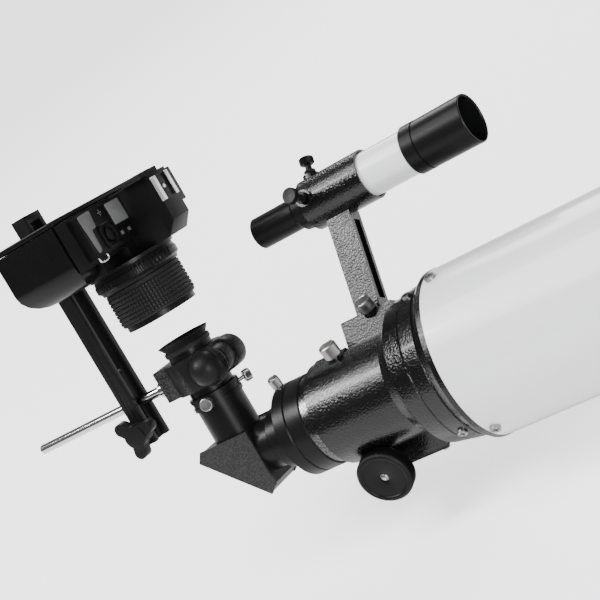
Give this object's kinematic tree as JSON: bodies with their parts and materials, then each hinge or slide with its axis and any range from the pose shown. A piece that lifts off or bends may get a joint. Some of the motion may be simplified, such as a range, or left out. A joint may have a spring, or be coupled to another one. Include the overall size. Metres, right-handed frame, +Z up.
{
  "type": "refracting telescope with camera bracket",
  "caption": "White refracting telescope tube with finder, rack focuser, star diagonal and eyepiece, and a clamp-on bracket holding an SLR camera over the eyepiece.",
  "frame": {"origin": "centre of the dovetail bar's underside, midway between the tube rings, where a mount's saddle holds it", "axes": "+X along the optical axis towards the objective lens, +Z up from the dovetail bar to the tube, +Y to the finder's side"},
  "size_m": [1.2139, 0.1978, 0.3131],
  "materials": {
    "white_enamel": "gloss",
    "black_crinkle": "hammered",
    "black_anodised": "satin",
    "chrome_tube": "polished",
    "bright_steel": "satin",
    "brass_gear": "machined",
    "black_plastic": "matte",
    "black_rubber": "matte",
    "clear_glass": "coated",
    "baffle_black": "flat"
  },
  "bodies": {
    "optical_tube": {"main_tube": "white_enamel", "tube_baffles": "baffle_black", "objective_cell": "white_enamel", "objective_doublet": "clear_glass", "lens_rings": "black_anodised", "dew_shield": "white_enamel", "focuser_body": "black_crinkle", "rack_cover": "black_anodised", "casing_screws": "bright_steel", "finder_bracket": "black_crinkle", "finder_plunger": "bright_steel", "finder_shoe": "black_crinkle", "finder_tube": "white_enamel", "finder_hood": "black_anodised", "finder_lenses": "clear_glass", "finder_eyepiece": "black_anodised", "ring_bases": "black_crinkle", "ring_hardware": "bright_steel", "dovetail_bar": "black_anodised"},
    "drawtube_train": {"drawtube": "chrome_tube", "focus_rack": "brass_gear", "drawtube_collar": "black_anodised", "visual_back": "black_anodised"},
    "focus_shaft": {"pinion_shaft": "bright_steel", "focus_knob_right": "black_plastic", "focus_knob_left": "black_plastic"},
    "lock_screw": {"focus_lock_screw": "bright_steel"},
    "adapter_screw": {"visual_back_screw": "bright_steel"},
    "diagonal": {"diagonal_body": "black_crinkle", "diagonal_side_plates": "black_anodised", "diagonal_prism": "clear_glass", "diagonal_nosepiece": "black_anodised", "eyepiece_holder": "black_anodised"},
    "near_holder_screw": {"holder_screw_near": "bright_steel"},
    "far_holder_screw": {"holder_screw_far": "bright_steel"},
    "eyepiece": {"eyepiece_body": "black_anodised", "eyepiece_lenses": "clear_glass", "eyecup": "black_rubber"},
    "clamp": {"clamp_ring": "black_plastic"},
    "clamp_screw": {"clamp_knob": "black_plastic"},
    "rod": {"support_rod": "chrome_tube"},
    "bar": {"bracket_bar": "black_anodised"},
    "bar_screw": {"bar_knob": "black_plastic"},
    "camera": {"camera_body": "black_plastic", "camera_grip": "black_plastic", "camera_top_cover": "black_plastic", "lens_barrel": "black_anodised", "lens_glass": "clear_glass"},
    "tripod_screw": {"camera_screw": "black_plastic"},
    "camera_door": {"camera_back": "black_plastic"},
    "release": {"shutter_button": "black_plastic"},
    "lens_focus": {"focus_ring": "black_rubber"},
    "lens_aperture": {"aperture_ring": "black_anodised"},
    "foot_screw": {"finder_foot_screw": "bright_steel"},
    "upper_aim": {"aim_screw_upper": "black_anodised"},
    "near_aim": {"aim_screw_near": "black_anodised"},
    "rear_cap": {"rear_ring_cap": "black_crinkle"},
    "rear_cap_screw": {"rear_ring_knob": "black_plastic"},
    "front_cap": {"front_ring_cap": "black_crinkle"},
    "front_cap_screw": {"front_ring_knob": "black_plastic"}
  },
  "joints": [
    {"name": "drawtube_slide", "type": "slide", "parent": "optical_tube", "child": "drawtube_train", "axis": [-1, 0, 0], "range_m": [0, 0.08]},
    {"name": "focus_shaft_turn", "type": "hinge", "parent": "optical_tube", "child": "focus_shaft", "pos_m": [-0.391, 0, 0.05215], "axis": [0, 1, 0], "range_deg": [-920, 0]},
    {"name": "lock_screw_turn", "type": "hinge", "parent": "optical_tube", "child": "lock_screw", "pos_m": [-0.388, 0, 0.13], "axis": [0, 0, 1], "range_deg": [0, 360]},
    {"name": "adapter_screw_turn", "type": "hinge", "parent": "drawtube_train", "child": "adapter_screw", "pos_m": [-0.43885, 0, 0.126], "axis": [0, 0, 1], "range_deg": [0, 360]},
    {"name": "diagonal_turn", "type": "hinge", "parent": "drawtube_train", "child": "diagonal", "pos_m": [-0.4919, 0, 0.093], "axis": [1, 0, 0], "range_deg": [-8, 34]},
    {"name": "near_holder_screw_turn", "type": "hinge", "parent": "diagonal", "child": "near_holder_screw", "pos_m": [-0.4919, 0.01085, 0.14001], "axis": [0.2419, -0.9454, 0.2183], "range_deg": [0, 360]},
    {"name": "far_holder_screw_turn", "type": "hinge", "parent": "diagonal", "child": "far_holder_screw", "pos_m": [-0.4919, 0.01085, 0.14001], "axis": [0.7071, 0.689, -0.1591], "range_deg": [0, 360]},
    {"name": "eyepiece_turn", "type": "hinge", "parent": "diagonal", "child": "eyepiece", "pos_m": [-0.4919, 0.0135, 0.15146], "axis": [0, 0.225, 0.9744], "range_deg": [-30, 30]},
    {"name": "clamp_turn", "type": "hinge", "parent": "eyepiece", "child": "clamp", "pos_m": [-0.4919, 0.0158, 0.16145], "axis": [0, 0.225, 0.9744], "range_deg": [-30, 30]},
    {"name": "clamp_screw_turn", "type": "hinge", "parent": "clamp", "child": "clamp_screw", "pos_m": [-0.47, 0.0158, 0.16145], "axis": [0, -0.9744, 0.225], "range_deg": [0, 360]},
    {"name": "rod_turn", "type": "hinge", "parent": "clamp", "child": "rod", "pos_m": [-0.5319, 0.01335, 0.15971], "axis": [1, 0, 0], "range_deg": [-8, 8]},
    {"name": "bar_slide", "type": "slide", "parent": "rod", "child": "bar", "axis": [1, 0, 0], "range_m": [-0.07, 0.012]},
    {"name": "bar_screw_turn", "type": "hinge", "parent": "bar", "child": "bar_screw", "pos_m": [-0.55495, -0.00116, 0.14356], "axis": [0, -0.9744, 0.225], "range_deg": [0, 360]},
    {"name": "camera_slide", "type": "slide", "parent": "bar", "child": "camera", "axis": [0, 0.225, 0.9744], "range_m": [-0.008, 0.012]},
    {"name": "tripod_screw_turn", "type": "hinge", "parent": "camera", "child": "tripod_screw", "pos_m": [-0.5607, 0.03955, 0.27322], "axis": [-1, 0, 0], "range_deg": [0, 360]},
    {"name": "camera_door_swing", "type": "hinge", "parent": "camera", "child": "camera_door", "pos_m": [-0.5199, 0.10645, 0.28292], "axis": [-1, 0, 0], "range_deg": [0, 110]},
    {"name": "release_press", "type": "slide", "parent": "camera", "child": "release", "axis": [-1, 0, 0], "range_m": [0, 0.0012], "stiffness_N_per_m": 700, "springref_m": -0.001},
    {"name": "lens_focus_turn", "type": "hinge", "parent": "camera", "child": "lens_focus", "pos_m": [-0.4989, 0.03314, 0.21877], "axis": [0, 0.225, 0.9744], "range_deg": [0, 150]},
    {"name": "lens_aperture_turn", "type": "hinge", "parent": "camera", "child": "lens_aperture", "pos_m": [-0.4989, 0.03764, 0.23826], "axis": [0, 0.225, 0.9744], "range_deg": [-30, 30]},
    {"name": "foot_screw_turn", "type": "hinge", "parent": "optical_tube", "child": "foot_screw", "pos_m": [-0.357, 0.02182, 0.13802], "axis": [0, -0.1822, 0.9833], "range_deg": [0, 360]},
    {"name": "upper_aim_turn", "type": "hinge", "parent": "optical_tube", "child": "upper_aim", "pos_m": [-0.3755, 0.08608, 0.20518], "axis": [0, 0.6088, 0.7934], "range_deg": [0, 360]},
    {"name": "near_aim_turn", "type": "hinge", "parent": "optical_tube", "child": "near_aim", "pos_m": [-0.3755, 0.08608, 0.20518], "axis": [0, -0.7934, 0.6088], "range_deg": [0, 360]},
    {"name": "rear_cap_swing", "type": "hinge", "parent": "optical_tube", "child": "rear_cap", "pos_m": [-0.1, 0.072, 0.093], "axis": [-1, 0, 0], "range_deg": [0, 90]},
    {"name": "rear_cap_screw_turn", "type": "hinge", "parent": "rear_cap", "child": "rear_cap_screw", "pos_m": [-0.1, -0.0775, 0.105], "axis": [0, 0, 1], "range_deg": [0, 360]},
    {"name": "front_cap_swing", "type": "hinge", "parent": "optical_tube", "child": "front_cap", "pos_m": [0.1, 0.072, 0.093], "axis": [-1, 0, 0], "range_deg": [0, 90]},
    {"name": "front_cap_screw_turn", "type": "hinge", "parent": "front_cap", "child": "front_cap_screw", "pos_m": [0.1, -0.0775, 0.105], "axis": [0, 0, 1], "range_deg": [0, 360]}
  ],
  "couplings": [
    {"joint": "focus_shaft_turn", "follows": "drawtube_slide", "rad_per_m": -200}
  ]
}
